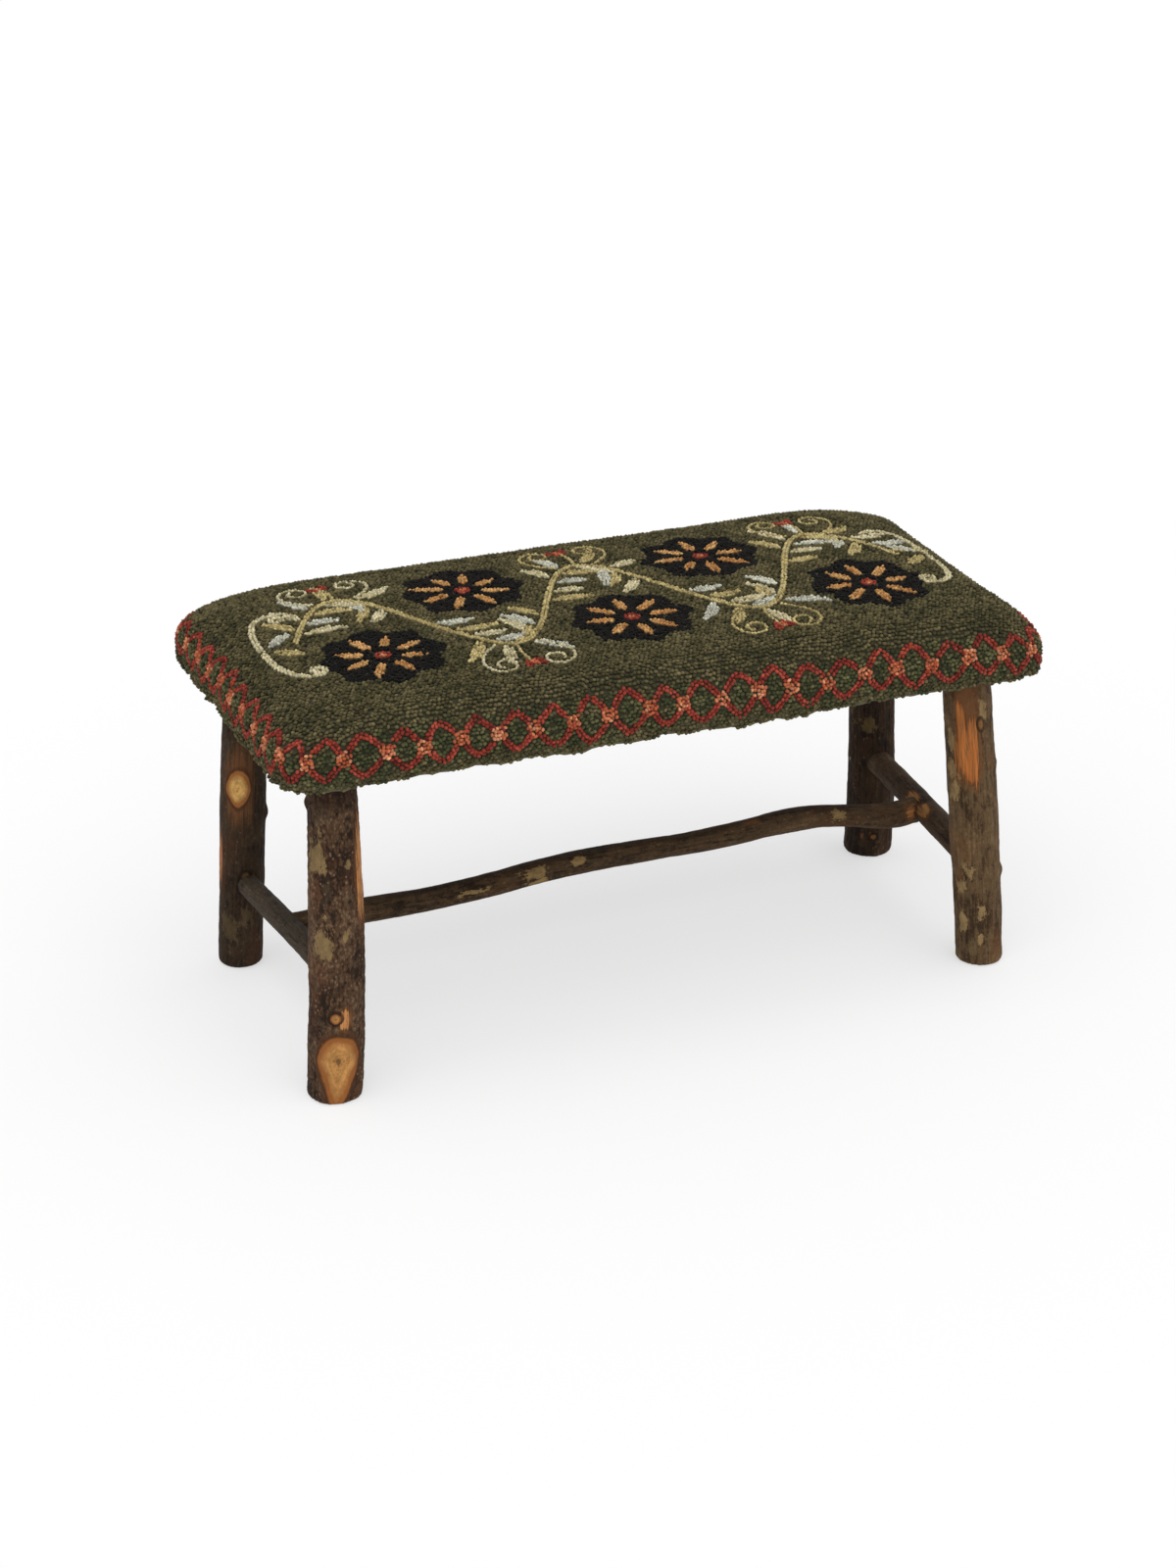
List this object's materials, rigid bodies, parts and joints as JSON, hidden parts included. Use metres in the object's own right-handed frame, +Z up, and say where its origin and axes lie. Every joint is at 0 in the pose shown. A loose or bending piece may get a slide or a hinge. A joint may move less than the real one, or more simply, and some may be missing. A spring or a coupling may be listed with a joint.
{
  "type": "upholstered bench",
  "caption": "Low upholstered bench: crowned seat in a hooked wool cover on bark-on log legs, braced by rungs and a crooked centre stretcher.",
  "frame": {"origin": "on the floor, under the middle of the seat", "axes": "+X along the seat's length, to the right as seen from the front; +Y from the front to the rear; +Z up"},
  "size_m": [0.815, 0.408, 0.4175],
  "materials": {
    "bark_log": "bark left on, with trimmed knots and peeled patches, thin matt seal",
    "bark_stick": "bark left on, thin matt seal",
    "plywood": "bare plywood",
    "foam": "open-cell foam",
    "batting": "loose white fibre",
    "hooked_wool": "hooked wool loops, olive field with a coloured design and a chain border",
    "dust_cloth": "thin non-woven cloth",
    "steel_wire": "bright wire",
    "zinc_steel": "zinc plated"
  },
  "bodies": {
    "root": {"front_left_leg": "bark_log", "front_right_leg": "bark_log", "rear_left_leg": "bark_log", "rear_right_leg": "bark_log", "left_rung": "bark_stick", "right_rung": "bark_stick", "centre_stretcher": "bark_stick", "seat_deck": "plywood", "seat_foam": "foam", "seat_batting": "batting", "hooked_cover": "hooked_wool", "dust_cover": "dust_cloth", "cover_staples": "steel_wire", "dust_cover_staples": "steel_wire", "leg_screws": "zinc_steel", "leg_washers": "zinc_steel", "joint_brads": "steel_wire"}
  },
  "joints": []
}
